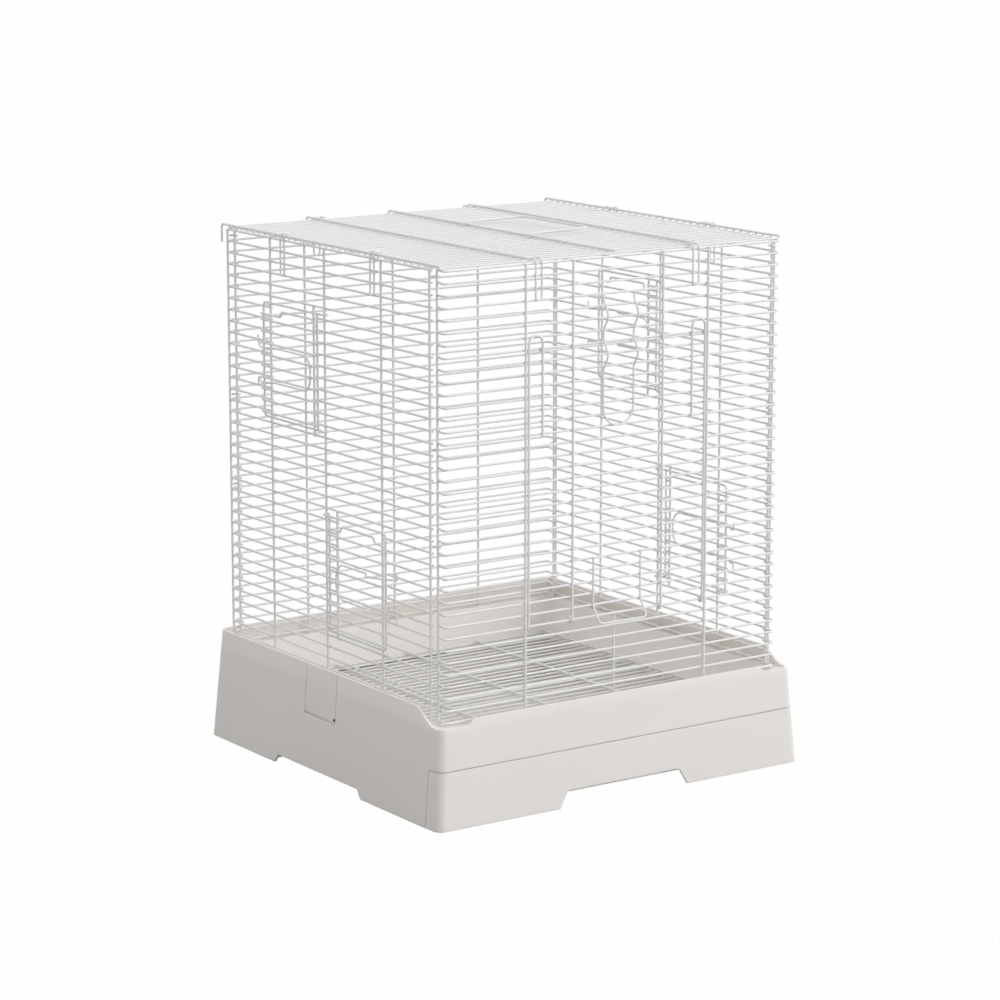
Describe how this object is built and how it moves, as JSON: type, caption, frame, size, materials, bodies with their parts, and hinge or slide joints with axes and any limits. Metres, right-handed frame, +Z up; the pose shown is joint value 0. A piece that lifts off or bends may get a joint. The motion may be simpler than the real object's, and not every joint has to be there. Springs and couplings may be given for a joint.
{
  "type": "parrot cage",
  "caption": "Tall square wire bird cage on a moulded base, with a drop-down front door, small side doors, a folding carry handle and a slide-out litter drawer.",
  "frame": {"origin": "under the middle of the base, on the floor", "axes": "+X to the right of the front, the front faces -Y, +Z up"},
  "size_m": [0.4534, 0.444, 0.557],
  "materials": {
    "panel_wire": "satin",
    "door_wire": "satin",
    "spring_wire": "satin",
    "base_plastic": "satin",
    "drawer_plastic": "satin",
    "clip_plastic": "satin"
  },
  "bodies": {
    "cage": {"base_shell": "base_plastic", "floor_grate": "panel_wire", "front_panel": "panel_wire", "back_panel": "panel_wire", "left_panel": "panel_wire", "right_panel": "panel_wire", "roof_panel": "panel_wire", "front_roof_clips": "spring_wire", "back_roof_clips": "spring_wire", "left_roof_clips": "spring_wire", "right_roof_clips": "spring_wire", "front_left_hooks": "spring_wire", "front_right_hooks": "spring_wire", "back_left_hooks": "spring_wire", "back_right_hooks": "spring_wire"},
    "drawer": {"drawer": "drawer_plastic"},
    "front_door": {"front_door": "door_wire", "front_door_bail": "spring_wire"},
    "front_door_catch": {"front_door_catch": "spring_wire"},
    "carry_handle": {"carry_handle": "door_wire"},
    "left_base_clip": {"left_base_clip": "clip_plastic"},
    "upper_left_door": {"upper_left_door": "door_wire"},
    "upper_left_latch_top": {"upper_left_latch_top": "spring_wire"},
    "upper_left_latch_foot": {"upper_left_latch_foot": "spring_wire"},
    "lower_left_door": {"lower_left_door": "door_wire"},
    "lower_left_latch_top": {"lower_left_latch_top": "spring_wire"},
    "lower_left_latch_foot": {"lower_left_latch_foot": "spring_wire"},
    "right_base_clip": {"right_base_clip": "clip_plastic"},
    "upper_right_door": {"upper_right_door": "door_wire"},
    "upper_right_latch_top": {"upper_right_latch_top": "spring_wire"},
    "upper_right_latch_foot": {"upper_right_latch_foot": "spring_wire"},
    "lower_right_door": {"lower_right_door": "door_wire"},
    "lower_right_latch_top": {"lower_right_latch_top": "spring_wire"},
    "lower_right_latch_foot": {"lower_right_latch_foot": "spring_wire"}
  },
  "joints": [
    {"name": "drawer_slide", "type": "slide", "parent": "cage", "child": "drawer", "axis": [0, -1, 0], "range_m": [0, 0.33]},
    {"name": "front_door_hinge", "type": "hinge", "parent": "cage", "child": "front_door", "pos_m": [0, -0.203, 0.187], "axis": [1, 0, 0], "range_deg": [0, 60]},
    {"name": "front_door_catch_slide", "type": "slide", "parent": "front_door", "child": "front_door_catch", "axis": [0, 0, -1], "range_m": [0, 0.02]},
    {"name": "carry_handle_hinge", "type": "hinge", "parent": "cage", "child": "carry_handle", "pos_m": [0, 0, 0.5515], "axis": [0, -1, 0], "range_deg": [0, 100]},
    {"name": "left_base_clip_hinge", "type": "hinge", "parent": "cage", "child": "left_base_clip", "pos_m": [-0.21752, 0.004, 0.07], "axis": [0, -1, 0], "range_deg": [0, 35]},
    {"name": "upper_left_door_hinge", "type": "hinge", "parent": "cage", "child": "upper_left_door", "pos_m": [-0.21095, 0.004, 0.4], "axis": [0, 0, 1], "range_deg": [0, 110]},
    {"name": "upper_left_latch_top_squeeze", "type": "hinge", "parent": "upper_left_door", "child": "upper_left_latch_top", "pos_m": [-0.2184, 0.0206, 0.4185], "axis": [-1, 0, 0], "range_deg": [0, 4], "stiffness_Nm_per_rad": 0.5},
    {"name": "upper_left_latch_foot_squeeze", "type": "hinge", "parent": "upper_left_door", "child": "upper_left_latch_foot", "pos_m": [-0.2184, 0.0206, 0.4185], "axis": [1, 0, 0], "range_deg": [0, 4], "stiffness_Nm_per_rad": 0.5},
    {"name": "lower_left_door_hinge", "type": "hinge", "parent": "cage", "child": "lower_left_door", "pos_m": [-0.21095, 0.004, 0.4], "axis": [0, 0, -1], "range_deg": [0, 110]},
    {"name": "lower_left_latch_top_squeeze", "type": "hinge", "parent": "lower_left_door", "child": "lower_left_latch_top", "pos_m": [-0.2184, -0.0254, 0.2145], "axis": [1, 0, 0], "range_deg": [0, 4], "stiffness_Nm_per_rad": 0.5},
    {"name": "lower_left_latch_foot_squeeze", "type": "hinge", "parent": "lower_left_door", "child": "lower_left_latch_foot", "pos_m": [-0.2184, -0.0254, 0.2145], "axis": [-1, 0, 0], "range_deg": [0, 4], "stiffness_Nm_per_rad": 0.5},
    {"name": "right_base_clip_hinge", "type": "hinge", "parent": "cage", "child": "right_base_clip", "pos_m": [0.21752, 0.004, 0.07], "axis": [0, 1, 0], "range_deg": [0, 35]},
    {"name": "upper_right_door_hinge", "type": "hinge", "parent": "cage", "child": "upper_right_door", "pos_m": [0.21095, 0.004, 0.4], "axis": [0, 0, -1], "range_deg": [0, 110]},
    {"name": "upper_right_latch_top_squeeze", "type": "hinge", "parent": "upper_right_door", "child": "upper_right_latch_top", "pos_m": [0.2184, 0.0334, 0.4185], "axis": [-1, 0, 0], "range_deg": [0, 4], "stiffness_Nm_per_rad": 0.5},
    {"name": "upper_right_latch_foot_squeeze", "type": "hinge", "parent": "upper_right_door", "child": "upper_right_latch_foot", "pos_m": [0.2184, 0.0334, 0.4185], "axis": [1, 0, 0], "range_deg": [0, 4], "stiffness_Nm_per_rad": 0.5},
    {"name": "lower_right_door_hinge", "type": "hinge", "parent": "cage", "child": "lower_right_door", "pos_m": [0.21095, 0.004, 0.4], "axis": [0, 0, 1], "range_deg": [0, 110]},
    {"name": "lower_right_latch_top_squeeze", "type": "hinge", "parent": "lower_right_door", "child": "lower_right_latch_top", "pos_m": [0.2184, -0.0126, 0.2145], "axis": [1, 0, 0], "range_deg": [0, 4], "stiffness_Nm_per_rad": 0.5},
    {"name": "lower_right_latch_foot_squeeze", "type": "hinge", "parent": "lower_right_door", "child": "lower_right_latch_foot", "pos_m": [0.2184, -0.0126, 0.2145], "axis": [-1, 0, 0], "range_deg": [0, 4], "stiffness_Nm_per_rad": 0.5}
  ],
  "couplings": [
    {"joint": "upper_left_latch_foot_squeeze", "follows": "upper_left_latch_top_squeeze", "ratio": 1},
    {"joint": "lower_left_latch_foot_squeeze", "follows": "lower_left_latch_top_squeeze", "ratio": 1},
    {"joint": "upper_right_latch_foot_squeeze", "follows": "upper_right_latch_top_squeeze", "ratio": 1},
    {"joint": "lower_right_latch_foot_squeeze", "follows": "lower_right_latch_top_squeeze", "ratio": 1}
  ]
}
